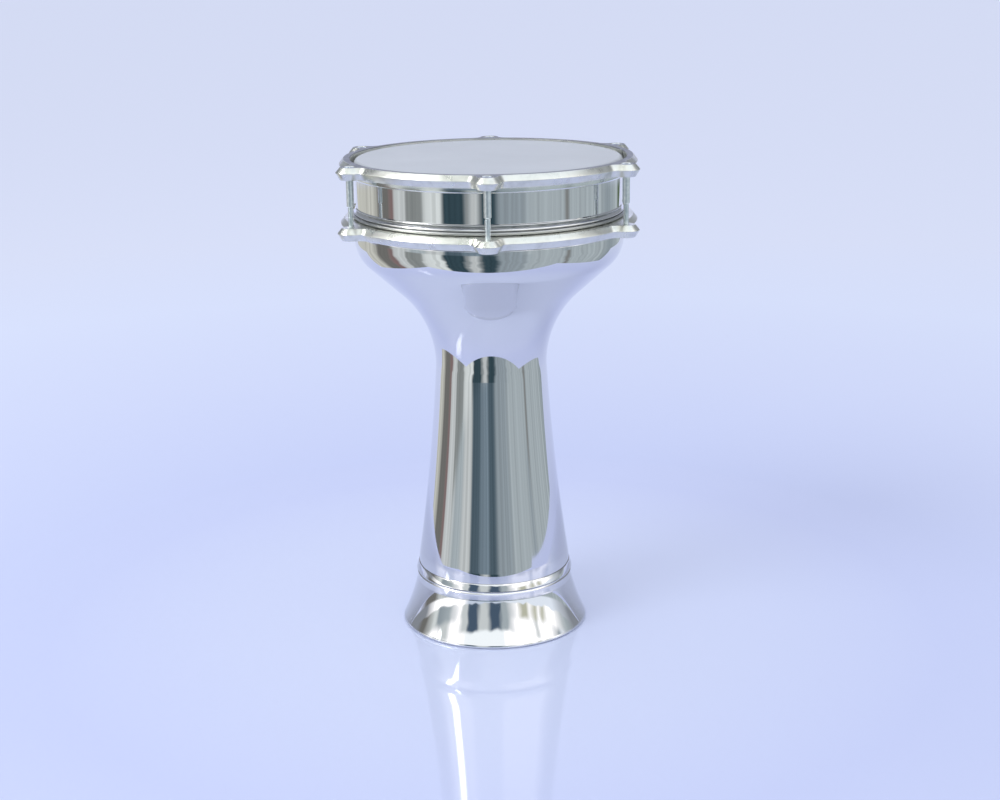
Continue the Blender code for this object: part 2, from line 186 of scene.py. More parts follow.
def turned(name, profile, steps=TURN_STEPS, closed=True, sharp_degrees=32):
    """A turned piece, from its profile."""
    bm = bmesh.new()
    spin_profile(bm, profile, steps, closed)
    return finish_mesh(bm, name, sharp_degrees)


def rounded(profile, radius, count):
    """A closed profile with its corners eased by short arcs of that radius. A corner that is
    nearly straight, or too near the next one for its arc, stays as it is."""
    points = []
    total = len(profile)
    for i in range(total):
        before = Vector(profile[i - 1])
        here = Vector(profile[i])
        after = Vector(profile[(i + 1) % total])
        a = (before - here).normalized()
        b = (after - here).normalized()
        turn = a.angle(b)
        reach = radius / math.tan(turn / 2)
        if turn > math.radians(150) or reach > 0.45 * min((before - here).length, (after - here).length):
            points.append(tuple(here))
            continue
        start = here + a * reach
        end = here + b * reach
        for k in range(count + 1):
            t = k / count
            points.append(tuple(start * (1 - t) ** 2 + here * 2 * t * (1 - t) + end * t**2))
    return points


def dress(obj, body, nodes, slot, *materials):
    """The finished piece takes its materials, its place in the drum and the CAD nodes it stands for."""
    for material in materials:
        obj.data.materials.append(material)
    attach(obj, body)
    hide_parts(*nodes)
    return obj


# Materials

def linear(hex_color):
    """An sRGB hex colour as linear RGBA."""
    values = [int(hex_color[i:i + 2], 16) / 255 for i in (1, 3, 5)]
    return tuple(v / 12.92 if v <= 0.04045 else ((v + 0.055) / 1.055) ** 2.4 for v in values) + (1.0,)


def add(tree, kind, settings=None, links=None):
    """Adds a node. settings are attributes or input values, and links feed its inputs."""
    node = tree.nodes.new("ShaderNode" + kind)
    for key, value in (settings or {}).items():
        if isinstance(key, str) and hasattr(node, key):
            setattr(node, key, value)
        else:
            node.inputs[key].default_value = value
    for key, socket in (links or {}).items():
        tree.links.new(socket, node.inputs[key])
    return node


def ramp(node, stops):
    """Fills a colour ramp with (position, hex colour) stops."""
    band = node.color_ramp
    while len(band.elements) > 1:
        band.elements.remove(band.elements[-1])
    band.elements[0].position = stops[0][0]
    band.elements[0].color = linear(stops[0][1])
    for position, color in stops[1:]:
        band.elements.new(position).color = linear(color)


def new_material(name, base, metallic, roughness):
    """A material, its node tree and its Principled shader."""
    material = bpy.data.materials.new(name)
    material.use_nodes = True
    tree = material.node_tree
    shader = tree.nodes["Principled BSDF"]
    shader.inputs["Base Color"].default_value = linear(base)
    shader.inputs["Metallic"].default_value = metallic
    shader.inputs["Roughness"].default_value = roughness
    return material, tree, shader


def polished_nickel():
    """Nickel plate on spun sheet, buffed: a mirror that is a little warm. The buff leaves a fine
    haze in patches 26 mm across, and spinning leaves shallow waves 42 mm apart round the drum
    and nearly three times as long up it."""
    material, tree, shader = new_material("polished_nickel_plate", "#E4E4E6", 1.0, 0.04)
    place = add(tree, "TexCoord").outputs["Object"]
    patches = add(tree, "TexNoise", {"Scale": 1 / (26.3 * MM), "Detail": 3.0}, {"Vector": place})
    haze = add(
        tree, "MapRange",
        {"From Min": 0.35, "From Max": 0.75, "To Min": 0.025, "To Max": 0.055},
        {"Value": patches.outputs["Fac"]},
    )
    tree.links.new(haze.outputs["Result"], shader.inputs["Roughness"])
    upright = add(tree, "Mapping", {"Scale": (1, 1, 0.35)}, {"Vector": place}).outputs["Vector"]
    waves = add(tree, "TexNoise", {"Scale": 1 / (41.7 * MM), "Detail": 1.0}, {"Vector": upright})
    bump = add(tree, "Bump", {"Strength": 0.10, "Distance": 1.2 * MM}, {"Height": waves.outputs["Fac"]})
    tree.links.new(bump.outputs["Normal"], shader.inputs["Normal"])
    return material


def crease_shade_nickel():
    """The same plate in grooves and under beads, satin where the buff doesn't reach. Its darker colour is
    painted shade in these creases, uneven in patches 6 mm across."""
    material, tree, shader = new_material("nickel_plate_with_painted_crease_shade", "#A2A4A5", 1.0, 0.34)
    place = add(tree, "TexCoord").outputs["Object"]
    patches = add(tree, "TexNoise", {"Scale": 1 / (6.25 * MM), "Detail": 4.0}, {"Vector": place})
    # Painted shade for the creases, uneven in patches
    crease_shade_patches = add(tree, "ValToRGB", {}, {"Fac": patches.outputs["Fac"]})
    ramp(crease_shade_patches, [(0.3, "#8C8E8F"), (0.7, "#B4B6B7")])
    tree.links.new(crease_shade_patches.outputs["Color"], shader.inputs["Base Color"])
    return material


def satin_nickel():
    """The stop wire: drawn wire plated without buffing, bright but with no clear image. Its base is darker
    than the plate's: painted shade for the wire tucked under the main bead. The die's lines are about 0.1
    mm apart on real wire. They are drawn 1.1 mm apart, and 22 mm long, so that they show."""
    material, tree, shader = new_material("satin_nickel_wire_with_painted_shade", "#B6B8B7", 1.0, 0.36)
    place = add(tree, "TexCoord").outputs["Object"]
    along = add(tree, "Mapping", {"Scale": (0.05, 0.05, 1)}, {"Vector": place}).outputs["Vector"]
    lines = add(tree, "TexNoise", {"Scale": 1 / (1.111 * MM), "Detail": 2.0}, {"Vector": along})
    bump = add(tree, "Bump", {"Strength": 0.15, "Distance": 0.04 * MM}, {"Height": lines.outputs["Fac"]})
    tree.links.new(bump.outputs["Normal"], shader.inputs["Normal"])
    return material


def spun_inside():
    """The unpolished inside of the spun sheet: dull tinned metal with turning rings 1.2 mm apart
    and stains 45 mm across."""
    material, tree, shader = new_material("spun_metal_inside", "#A9A79F", 1.0, 0.42)
    place = add(tree, "TexCoord").outputs["Object"]
    height = add(tree, "SeparateXYZ", {}, {"Vector": place}).outputs["Z"]
    turns = add(tree, "Math", {"operation": "MULTIPLY", 1: math.tau / (1.2 * MM)}, {0: height})
    rings = add(tree, "Math", {"operation": "SINE"}, {0: turns.outputs["Value"]})
    bump = add(tree, "Bump", {"Strength": 0.25, "Distance": 0.1 * MM}, {"Height": rings.outputs["Value"]})
    tree.links.new(bump.outputs["Normal"], shader.inputs["Normal"])
    patches = add(tree, "TexNoise", {"Scale": 1 / (45.5 * MM), "Detail": 5.0}, {"Vector": place})
    stain = add(tree, "ValToRGB", {}, {"Fac": patches.outputs["Fac"]})
    ramp(stain, [(0.3, "#8D8A80"), (0.55, "#A9A79F"), (0.75, "#B9B7B0")])
    tree.links.new(stain.outputs["Color"], shader.inputs["Base Color"])
    return material


def cast_aluminium():
    """Cast aluminium rings, tumbled and buffed on their bevels: bright and a little warm, softer
    than plate. The buff leaves their gloss uneven in patches 17 mm across, their tone in
    patches 8 mm across, and shallow hollows 14 mm apart."""
    material, tree, shader = new_material("buffed_cast_aluminium", "#E8E8E0", 1.0, 0.30)
    place = add(tree, "TexCoord").outputs["Object"]
    uneven = add(tree, "TexNoise", {"Scale": 1 / (16.7 * MM), "Detail": 3.0}, {"Vector": place})
    rough = add(
        tree, "MapRange",
        {"From Min": 0.3, "From Max": 0.7, "To Min": 0.24, "To Max": 0.36},
        {"Value": uneven.outputs["Fac"]},
    )
    tree.links.new(rough.outputs["Result"], shader.inputs["Roughness"])
    patches = add(tree, "TexNoise", {"Scale": 1 / (8.33 * MM), "Detail": 5.0}, {"Vector": place})
    tone = add(tree, "ValToRGB", {}, {"Fac": patches.outputs["Fac"]})
    ramp(tone, [(0.30, "#DADAD2"), (0.48, "#E8E8E0"), (0.75, "#EFEFE8")])
    tree.links.new(tone.outputs["Color"], shader.inputs["Base Color"])
    hollows = add(tree, "TexNoise", {"Scale": 1 / (14.3 * MM), "Detail": 2.0}, {"Vector": place})
    bump = add(tree, "Bump", {"Strength": 0.16, "Distance": 0.5 * MM}, {"Height": hollows.outputs["Fac"]})
    tree.links.new(bump.outputs["Normal"], shader.inputs["Normal"])
    return material


def faced_aluminium():
    """The rings' flat faces, turned flat and not buffed: grey and satin, with tone patches 11 mm
    across. The tool's rings are about 0.2 mm apart on a real ring. They are drawn 0.8 mm apart
    so that they show."""
    material, tree, shader = new_material("faced_cast_aluminium", "#8B8C8B", 1.0, 0.42)
    place = add(tree, "TexCoord").outputs["Object"]
    parts = add(tree, "SeparateXYZ", {}, {"Vector": place})
    flat = add(tree, "CombineXYZ", {}, {"X": parts.outputs["X"], "Y": parts.outputs["Y"]})
    reach = add(tree, "VectorMath", {"operation": "LENGTH"}, {0: flat.outputs["Vector"]})
    turns = add(
        tree, "Math", {"operation": "MULTIPLY", 1: math.tau / (0.8 * MM)}, {0: reach.outputs["Value"]}
    )
    rings = add(tree, "Math", {"operation": "SINE"}, {0: turns.outputs["Value"]})
    bump = add(tree, "Bump", {"Strength": 0.2, "Distance": 0.06 * MM}, {"Height": rings.outputs["Value"]})
    tree.links.new(bump.outputs["Normal"], shader.inputs["Normal"])
    patches = add(tree, "TexNoise", {"Scale": 1 / (11.1 * MM), "Detail": 4.0}, {"Vector": place})
    tone = add(tree, "ValToRGB", {}, {"Fac": patches.outputs["Fac"]})
    ramp(tone, [(0.3, "#7E7F7E"), (0.7, "#989998")])
    tree.links.new(tone.outputs["Color"], shader.inputs["Base Color"])
    return material


def plated_steel():
    """Zinc-plated turned steel of the bolts: cool grey, a little cloudy in patches 3 mm across.
    Turning lines 0.35 mm apart spread the highlight on the shank, and show only from close by."""
    material, tree, shader = new_material("zinc_plated_steel", "#E8EEF0", 1.0, 0.30)
    place = add(tree, "TexCoord").outputs["Object"]
    height = add(tree, "SeparateXYZ", {}, {"Vector": place}).outputs["Z"]
    turns = add(tree, "Math", {"operation": "MULTIPLY", 1: math.tau / (0.35 * MM)}, {0: height})
    rings = add(tree, "Math", {"operation": "SINE"}, {0: turns.outputs["Value"]})
    bump = add(tree, "Bump", {"Strength": 0.12, "Distance": 0.03 * MM}, {"Height": rings.outputs["Value"]})
    tree.links.new(bump.outputs["Normal"], shader.inputs["Normal"])
    patches = add(tree, "TexNoise", {"Scale": 1 / (3.125 * MM), "Detail": 4.0}, {"Vector": place})
    cloud = add(tree, "ValToRGB", {}, {"Fac": patches.outputs["Fac"]})
    ramp(cloud, [(0.3, "#D8E0E3"), (0.6, "#EEF3F5")])
    tree.links.new(cloud.outputs["Color"], shader.inputs["Base Color"])
    return material


def drawn_aluminium():
    """The hoop on the head's edge: drawn aluminium strip, satin from the die. The die's lines are
    about 0.1 mm apart on real strip. They are drawn 1.4 mm apart, and 36 mm long, so that they show."""
    material, tree, shader = new_material("drawn_aluminium", "#E8EAEA", 1.0, 0.16)
    place = add(tree, "TexCoord").outputs["Object"]
    along = add(tree, "Mapping", {"Scale": (0.04, 0.04, 1)}, {"Vector": place}).outputs["Vector"]
    lines = add(tree, "TexNoise", {"Scale": 1 / (1.43 * MM), "Detail": 2.0}, {"Vector": along})
    bump = add(tree, "Bump", {"Strength": 0.15, "Distance": 0.04 * MM}, {"Height": lines.outputs["Fac"]})
    tree.links.new(bump.outputs["Normal"], shader.inputs["Normal"])
    return material


def frosted_film():
    """Sanded polyester film: pale grey and matte, a little cloudy in patches 56 mm across from
    the coating. The sanding's grit is under 0.1 mm across on real film. It is drawn 0.4 mm
    across so that it scatters light in the render."""
    material, tree, shader = new_material("frosted_polyester_film", "#C1C6CA", 0.0, 0.5)
    place = add(tree, "TexCoord").outputs["Object"]
    patches = add(tree, "TexNoise", {"Scale": 1 / (55.6 * MM), "Detail": 4.0}, {"Vector": place})
    cloud = add(tree, "ValToRGB", {}, {"Fac": patches.outputs["Fac"]})
    ramp(cloud, [(0.3, "#BEC3C7"), (0.7, "#C4C9CD")])
    tree.links.new(cloud.outputs["Color"], shader.inputs["Base Color"])
    grit = add(tree, "TexNoise", {"Scale": 1 / (0.4 * MM), "Detail": 2.0}, {"Vector": place})
    bump = add(tree, "Bump", {"Strength": 0.35, "Distance": 0.08 * MM}, {"Height": grit.outputs["Fac"]})
    tree.links.new(bump.outputs["Normal"], shader.inputs["Normal"])
    return material


NICKEL = polished_nickel()
CREASE_SHADE_NICKEL = crease_shade_nickel()
SATIN_NICKEL = satin_nickel()
INSIDE = spun_inside()
CASTING = cast_aluminium()
FACED = faced_aluminium()
STEEL = plated_steel()
HOOP_METAL = drawn_aluminium()
FILM_SKIN = frosted_film()


# Sheet metal pieces

def mark_faces(obj, slot, belongs):
    """Gives a material to the faces whose middle and normal pass the test. slot is its place in
    dress, where the first material is 0."""
    for face in obj.data.polygons:
        if belongs(face.center, face.normal):
            face.material_index = slot


def looks_inward(center, normal):
    return normal.x * center.x + normal.y * center.y < 0


def flare(inset, count):
    """The foot's wall from its land down to the floor's edge."""
    spread = FOOT_RADIUS - FOOT_WALL
    drop = FLARE_TOP_Z - FOOT_EDGE
    points = []
    for i in range(count + 1):
        t = i / count
        reach = (1 - FLARE_CURL) * t + FLARE_CURL * t * t
        points.append((FOOT_WALL - inset + spread * reach, FLARE_TOP_Z - drop * t))
    return points


def foot_shell():
    """The foot from the socket's bead over the groove and the flare to the lip on the floor."""
    bead_edge = FOOT_WALL + 0.7 * MM
    outside = [
        (bead_edge - 2.1 * MM, FOOT_TOP_Z),
        (bead_edge - 1.8 * MM, FOOT_TOP_Z - 0.1 * MM),
        (bead_edge - 1.6 * MM, FOOT_TOP_Z - 0.5 * MM),
        (bead_edge - 0.1 * MM, GROOVE_TOP_Z + 0.9 * MM),
        (bead_edge, GROOVE_TOP_Z + 0.5 * MM),
        (bead_edge - 0.2 * MM, GROOVE_TOP_Z + 0.2 * MM),
    ]
    groove = LAND_Z - GROOVE_TOP_Z
    for i in range(9):
        t = i / 8
        outside.append((FOOT_WALL - GROOVE_DEPTH * math.sin(math.pi * t), GROOVE_TOP_Z + groove * t))
    outside += flare(0, 24)
    outside += arc(FOOT_RADIUS - FOOT_EDGE, FOOT_EDGE, FOOT_EDGE, 0, -QUARTER, 8)[1:]
    lip_start = FOOT_RADIUS - FOOT_EDGE
    lip_end = lip_start - FOOT_LIP
    lip = [(lip_end, 0), (lip_end, SHEET), (lip_start, SHEET)]
    inner = FOOT_WALL - SHEET
    inside = flare(SHEET, 16)[::-1] + [(inner, LAND_Z)]
    inside += [(inner - GROOVE_DEPTH, (LAND_Z + GROOVE_TOP_Z) / 2)]
    inside += [(inner, GROOVE_TOP_Z), (inner, FOOT_TOP_Z)]
    foot = turned("foot_shell_fine", outside + lip + inside)
    groove_top = GROOVE_TOP_Z + 0.4 * MM
    groove_end = GROOVE_TOP_Z - 1.1 * MM
    floor_side = 0.5 * MM
    # The groove under the socket's bead takes the crease-shade nickel: a painted shade line.
    mark_faces(foot, 2, lambda c, n: groove_end < c.z < groove_top)
    mark_faces(foot, 1, lambda c, n: looks_inward(c, n) and c.z > floor_side)
    return dress(foot, "drum_body", ["foot_shell"], "nickel_plate", NICKEL, INSIDE, CREASE_SHADE_NICKEL)


def bowl(inset, count):
    """Bowl, neck and stem, from the throat under the lower ring down to the stem's end."""
    throat_r = BOWL_RADIUS - THROAT_CURVE
    points = arc(throat_r, BOWL_Z + THROAT_LAND, THROAT_CURVE - inset, THROAT_ANGLE, 0, 8)
    points += arc(
        BOWL_RADIUS - BOWL_SHOULDER, BOWL_Z, BOWL_SHOULDER - inset, 0, -NECK_SLOPE, count
    )
    points += arc(
        NECK_RADIUS + NECK_CURVE, NECK_Z, NECK_CURVE + inset, math.pi - NECK_SLOPE, math.pi, count
    )
    spread = STEM_END_RADIUS - NECK_RADIUS
    drop = NECK_Z - STEM_FOOT_Z
    for i in range(1, count + 1):
        t = i / count
        taper = (1 - STEM_CURL) * t + STEM_CURL * t * t
        points.append((NECK_RADIUS - inset + spread * taper, NECK_Z - drop * t))
    points.append((STEM_END_RADIUS - inset, STEM_END_Z))
    return points


def body_shell():
    """Stem, neck and bowl, with the spigot that holds the collar."""
    spigot = COLLAR_RADIUS - SHEET - GAP
    spigot_top = COLLAR_Z + SPIGOT_HEIGHT
    outside = [(spigot, spigot_top), (spigot, COLLAR_Z), (COLLAR_RADIUS, COLLAR_Z)]
    outside += bowl(0, 28)
    inside = bowl(SHEET, 20)[::-1]
    inside += [
        (COLLAR_RADIUS - SHEET, THROAT_Z - SHEET),
        (COLLAR_RADIUS - SHEET, COLLAR_Z - SHEET - GAP),
        (spigot - SHEET, COLLAR_Z),
        (spigot - SHEET, spigot_top),
    ]
    shell = turned("body_shell_fine", outside + inside)
    mark_faces(shell, 1, looks_inward)
    return dress(shell, "drum_body", ["body_shell"], "nickel_plate", NICKEL, INSIDE)


def rolled_bead(base_z, height, proud, count):
    """A rolled bead on the collar's wall from its top down: a slope, a round crest low on
    the bead and a short turn under."""
    crest = 0.32 * height
    lean = math.atan2(height - 2 * crest, proud - crest)
    top_z = base_z + height
    points = [(COLLAR_RADIUS, top_z), (COLLAR_RADIUS + 0.05 * MM, top_z - 0.06 * MM)]
    points += arc(
        COLLAR_RADIUS + proud - crest, base_z + crest, crest, QUARTER - lean / 2, -QUARTER, count
    )
    points += [(COLLAR_RADIUS, base_z)]
    return points


def collar_shell():
    """The collar, with the folded edge under the head and two rolled beads above the stop wire."""
    edge_r = COLLAR_RADIUS - COLLAR_EDGE
    edge_z = COLLAR_TOP_Z - COLLAR_EDGE
    fold_r = edge_r - COLLAR_EDGE
    fold_z = edge_z - COLLAR_FOLD
    hold = 0.3 * MM
    beads_top = FINE_BEAD_Z + FINE_BEAD_HEIGHT
    outside = [(fold_r, fold_z)] + arc(edge_r, edge_z, COLLAR_EDGE, math.pi, 0, 20)
    outside += [(COLLAR_RADIUS, edge_z - hold), (COLLAR_RADIUS, beads_top + hold)]
    outside += rolled_bead(FINE_BEAD_Z, FINE_BEAD_HEIGHT, FINE_BEAD_PROUD, 10)
    outside += rolled_bead(MAIN_BEAD_Z, MAIN_BEAD_HEIGHT, MAIN_BEAD_PROUD, 14)
    outside += [(COLLAR_RADIUS, COLLAR_Z + GAP)]
    inside = [(COLLAR_RADIUS - SHEET, COLLAR_Z + GAP)]
    inside += arc(edge_r, edge_z, COLLAR_EDGE - SHEET, 0, math.pi, 12)
    inside += [(fold_r + SHEET, fold_z)]
    collar = turned("collar_shell_fine", outside + inside)
    crease_z = MAIN_BEAD_Z + 2.75 * MM
    crease_end = FINE_BEAD_Z + 0.35 * MM
    under_bead = MAIN_BEAD_Z + 0.25 * MM
    # The crease between the beads and the wall under the main bead take the crease-shade nickel: painted
    # shade.
    mark_faces(collar, 2, lambda c, n: crease_z < c.z < crease_end or c.z < under_bead)
    mark_faces(collar, 1, looks_inward)
    return dress(collar, "drum_body", ["collar_shell"], "nickel_plate", NICKEL, INSIDE, CREASE_SHADE_NICKEL)


def stop_wire():
    """The round wire that takes the lower ring's pull."""
    center = COLLAR_RADIUS + GAP + STOP_WIRE / 2
    section = arc(center, STOP_WIRE_Z, STOP_WIRE / 2, math.pi, -math.pi, 24)[:-1]
    wire = turned("stop_wire_fine", section, sharp_degrees=60)
    return dress(wire, "drum_body", ["stop_wire"], "nickel_plate", SATIN_NICKEL)


# Head

def head_film():
    """The playing film, bent over the collar's edge into a skirt inside the hoop."""
    edge_r = COLLAR_RADIUS - COLLAR_EDGE
    edge_z = COLLAR_TOP_Z - COLLAR_EDGE
    bend = COLLAR_EDGE + GAP
    rings = [(COLLAR_RADIUS * k / 6, HEAD_Z) for k in range(6)]
    outside = rings + arc(edge_r, edge_z, bend + FILM, QUARTER, 0, 12)
    outside += [(FILM_OUTER, SKIRT_END_Z), (FILM_INNER, SKIRT_END_Z)]
    inside = arc(edge_r, edge_z, bend, 0, QUARTER, 12) + [(0, HEAD_Z - FILM)]
    film = turned("head_film_fine", outside + inside, closed=False, sharp_degrees=40)
    return dress(film, "drum_body", ["head_film"], "head_film", FILM_SKIN)


def head_hoop():
    """The hoop's outside is rounded, most at its foot. Its inside is flat on the film's skirt."""
    top = HOOP_Z + HOOP_HEIGHT
    ease = 0.7 * MM
    foot = 1.8 * MM
    small = 0.3 * MM
    section = arc(HOOP_OUTER - ease, top - ease, ease, QUARTER, 0, 8)
    section += arc(HOOP_OUTER - foot, HOOP_Z + foot, foot, 0, -QUARTER, 12)
    section += [(HOOP_INNER + small, HOOP_Z), (HOOP_INNER, HOOP_Z + small)]
    section += [(HOOP_INNER, top - small), (HOOP_INNER + small, top)]
    hoop = turned("head_hoop_fine", section, sharp_degrees=50)
    return dress(hoop, "drum_body", ["head_hoop"], "hoop_aluminium", HOOP_METAL)


# Cast rings

def lobed_outline(grow):
    """Ring outline with an ear at every bolt, parallel to the rim and set out by grow."""
    rim = RING_RIM + grow
    ear = EAR_RADIUS + grow
    fillet = EAR_FILLET - grow
    to_fillet = RING_RIM + EAR_FILLET
    side = to_fillet**2 + BOLT_CIRCLE**2 - (EAR_RADIUS + EAR_FILLET) ** 2
    swing = math.acos(side / (2 * to_fillet * BOLT_CIRCLE))
    across = to_fillet * math.sin(swing)
    along = to_fillet * math.cos(swing) - BOLT_CIRCLE
    lean = math.atan2(across, along)
    half = arc(BOLT_CIRCLE, 0, ear, 0, lean, 16)
    half += arc(BOLT_CIRCLE + along, across, fillet, lean + math.pi, swing + math.pi, 10)[1:]
    half += arc(0, 0, rim, swing, math.pi / 6, 14)[1:]
    mirrored = [(x, -y) for x, y in half[1:-1]][::-1]
    outline = []
    for angle in EAR_ANGLES:
        c = math.cos(angle)
        s = math.sin(angle)
        outline += [(x * c - y * s, x * s + y * c) for x, y in mirrored + half]
    return outline


def ring_levels(base_z):
    """The ring's section as (grow, z): flat face, lower bevel, sharp middle edge, upper bevel,
    flat face, with each edge worn round."""
    section = [
        (-RING_LAND, base_z),
        (-LOWER_BEVEL, base_z),
        (0, base_z + RING_EDGE_HEIGHT),
        (-UPPER_BEVEL, base_z + RING_HEIGHT),
        (-RING_LAND, base_z + RING_HEIGHT),
    ]
    outer = -5.5 * MM
    return [point for point in rounded(section, WORN_EDGE, 4) if point[0] > outer]


def lobed_ring(name, base_z):
    """The cast ring before it is bored."""
    bm = bmesh.new()
    loops = []
    for grow, z in ring_levels(base_z):
        verts = [bm.verts.new((x, y, z)) for x, y in lobed_outline(grow)]
        loops.append([bm.edges.new((verts[i - 1], verts[i])) for i in range(len(verts))])
    for lower, upper in zip(loops, loops[1:]):
        bmesh.ops.bridge_loops(bm, edges=lower + upper)
    bmesh.ops.contextual_create(bm, geom=loops[0])
    bmesh.ops.contextual_create(bm, geom=loops[-1])
    return finish_mesh(bm, name)


def hole_profile(top, bottom, radius, ease, narrow=None, step_z=None):
    """The profile of a cutter for a hole with an eased mouth. Where narrow is given, the hole
    steps in to it at step_z."""
    over = 5 * MM
    points = [
        (0, top + over), (radius + ease + over, top + over), (radius + ease, top), (radius, top - ease)
    ]
    if narrow:
        points += [(radius, step_z), (narrow, step_z)]
    end = narrow or radius
    return points + [(end, bottom - over), (0, bottom - over)]


def ear_places():
    return [(BOLT_CIRCLE * math.cos(a), BOLT_CIRCLE * math.sin(a)) for a in EAR_ANGLES]


def plug(name, profile, places, steps):
    """A turned cutter, repeated at the given places."""
    bm = bmesh.new()
    for x, y in places:
        part = bmesh.new()
        spin_profile(part, profile, steps, closed=False)
        bmesh.ops.remove_doubles(part, verts=part.verts, dist=MERGE)
        bmesh.ops.translate(part, verts=part.verts, vec=(x, y, 0))
        mesh = bpy.data.meshes.new(name)
        part.to_mesh(mesh)
        part.free()
        bm.from_mesh(mesh)
        bpy.data.meshes.remove(mesh)
    return finish_mesh(bm, name)


def bored(ring, bore, hole):
    """Cuts the bore and a hole in each ear out of the ring for good, and shades what is left."""
    cutters = [
        plug("bore_cutter", bore, [(0, 0)], TURN_STEPS),
        plug("hole_cutter", hole, ear_places(), BOLT_STEPS),
    ]
    for cutter in cutters:
        cut = ring.modifiers.new("Cut", "BOOLEAN")
        cut.operation = "DIFFERENCE"
        cut.object = cutter
    depsgraph = bpy.context.evaluated_depsgraph_get()
    mesh = bpy.data.meshes.new_from_object(ring.evaluated_get(depsgraph), depsgraph=depsgraph)
    ring.modifiers.clear()
    old = ring.data
    ring.data = mesh
    bpy.data.meshes.remove(old)
    mesh.name = ring.name
    for cutter in cutters:
        cutter_mesh = cutter.data
        bpy.data.objects.remove(cutter)
        bpy.data.meshes.remove(cutter_mesh)
    mesh.shade_smooth()
    mesh.set_sharp_from_angle(angle=math.radians(28))


def top_ring():
    """The top ring, with a flange over the hoop, holes for the shanks and counterbores for the heads."""
    ring = lobed_ring("top_ring_fine", TOP_RING_Z)
    bore_r = HOOP_OUTER + 0.4 * MM
    flange_top = TOP_RING_Z + FLANGE_THICKNESS
    bore = hole_profile(TOP_Z, TOP_RING_Z, bore_r, BORE_EASE, FILM_OUTER + GAP, flange_top)
    hole = hole_profile(
        TOP_Z, TOP_RING_Z, WASHER_RADIUS + GAP, HEAD_HOLE_EASE, SHANK_RADIUS + GAP, COUNTERBORE_Z
    )
    bored(ring, bore, hole)
    rebate = bore_r + BORE_EASE + 0.1 * MM
    mark_faces(ring, 1, lambda c, n: abs(n.z) > 0.99 or n.z > 0.3 and math.hypot(c.x, c.y) < rebate)
    return dress(ring, "top_ring", ["top_ring"], "cast_aluminium", CASTING, FACED)


def lower_ring():
    """The lower ring, with a plain bore for the collar and tapped holes for the bolts."""
    ring = lobed_ring("lower_ring_fine", LOWER_RING_Z)
    top = LOWER_RING_Z + RING_HEIGHT
    bore = hole_profile(top, LOWER_RING_Z, COLLAR_RADIUS + GAP, BORE_EASE)
    hole = hole_profile(top, LOWER_RING_Z, THREAD_RADIUS + GAP, BORE_EASE)
    bored(ring, bore, hole)
    mark_faces(ring, 1, lambda c, n: n.z < -0.99)
    return dress(ring, "drum_body", ["lower_ring"], "cast_aluminium", CASTING, FACED)


# Bolts and washers

def bolt_core(bm):
    """Head, shank and the thread's core, turned in one, with a hexagon socket in the head."""
    corner = SOCKET_HALF_WIDTH / math.cos(math.pi / 6)
    ring = bmesh.ops.create_circle(bm, cap_ends=False, radius=corner, segments=6)["verts"]
    bmesh.ops.translate(bm, verts=ring, vec=(0, 0, BOLT_TOP_Z))
    edges = list({e for v in ring for e in v.link_edges})
    bmesh.ops.subdivide_edges(bm, edges=edges, cuts=BOLT_STEPS // 6 - 1)
    hexagon = list(bm.edges)
    outer = bmesh.ops.create_circle(
        bm, cap_ends=False, radius=HEAD_RADIUS - 0.5 * MM, segments=BOLT_STEPS
    )["verts"]
    bmesh.ops.translate(bm, verts=outer, vec=(0, 0, BOLT_TOP_Z))
    rim = list({e for v in outer for e in v.link_edges})
    bmesh.ops.bridge_loops(bm, edges=hexagon + rim)

    def step(loop, radius, z):
        """Carries an open loop on to the next radius and height."""
        grown = bmesh.ops.extrude_edge_only(bm, edges=loop)["geom"]
        for v in [g for g in grown if isinstance(g, bmesh.types.BMVert)]:
            flat = Vector((v.co.x, v.co.y, 0))
            v.co = flat.normalized() * radius + Vector((0, 0, z))
        return [g for g in grown if isinstance(g, bmesh.types.BMEdge) and g.is_boundary]

    loop = rim
    profile = [
        (HEAD_RADIUS - 0.15 * MM, BOLT_TOP_Z - 0.15 * MM), (HEAD_RADIUS, BOLT_TOP_Z - 0.5 * MM),
        (HEAD_RADIUS, HEAD_SEAT_Z + 0.1 * MM), (HEAD_RADIUS - 0.1 * MM, HEAD_SEAT_Z),
        (SHANK_RADIUS + 0.2 * MM, HEAD_SEAT_Z), (SHANK_RADIUS, HEAD_SEAT_Z - 0.2 * MM),
        (SHANK_RADIUS, SHOULDER_Z + 0.6 * MM), (THREAD_RADIUS, SHOULDER_Z),
        (THREAD_CORE, SHOULDER_Z - 0.3 * MM), (THREAD_CORE, BOLT_END_Z + 0.3 * MM),
        (THREAD_CORE - 0.3 * MM, BOLT_END_Z),
    ]
    for radius, z in profile:
        loop = step(loop, radius, z)
    bmesh.ops.contextual_create(bm, geom=loop)
    deep = bmesh.ops.extrude_edge_only(bm, edges=hexagon)["geom"]
    verts = [g for g in deep if isinstance(g, bmesh.types.BMVert)]
    bmesh.ops.translate(bm, verts=verts, vec=(0, 0, -SOCKET_DEPTH))
    floor = [g for g in deep if isinstance(g, bmesh.types.BMEdge) and g.is_boundary]
    bmesh.ops.contextual_create(bm, geom=floor)


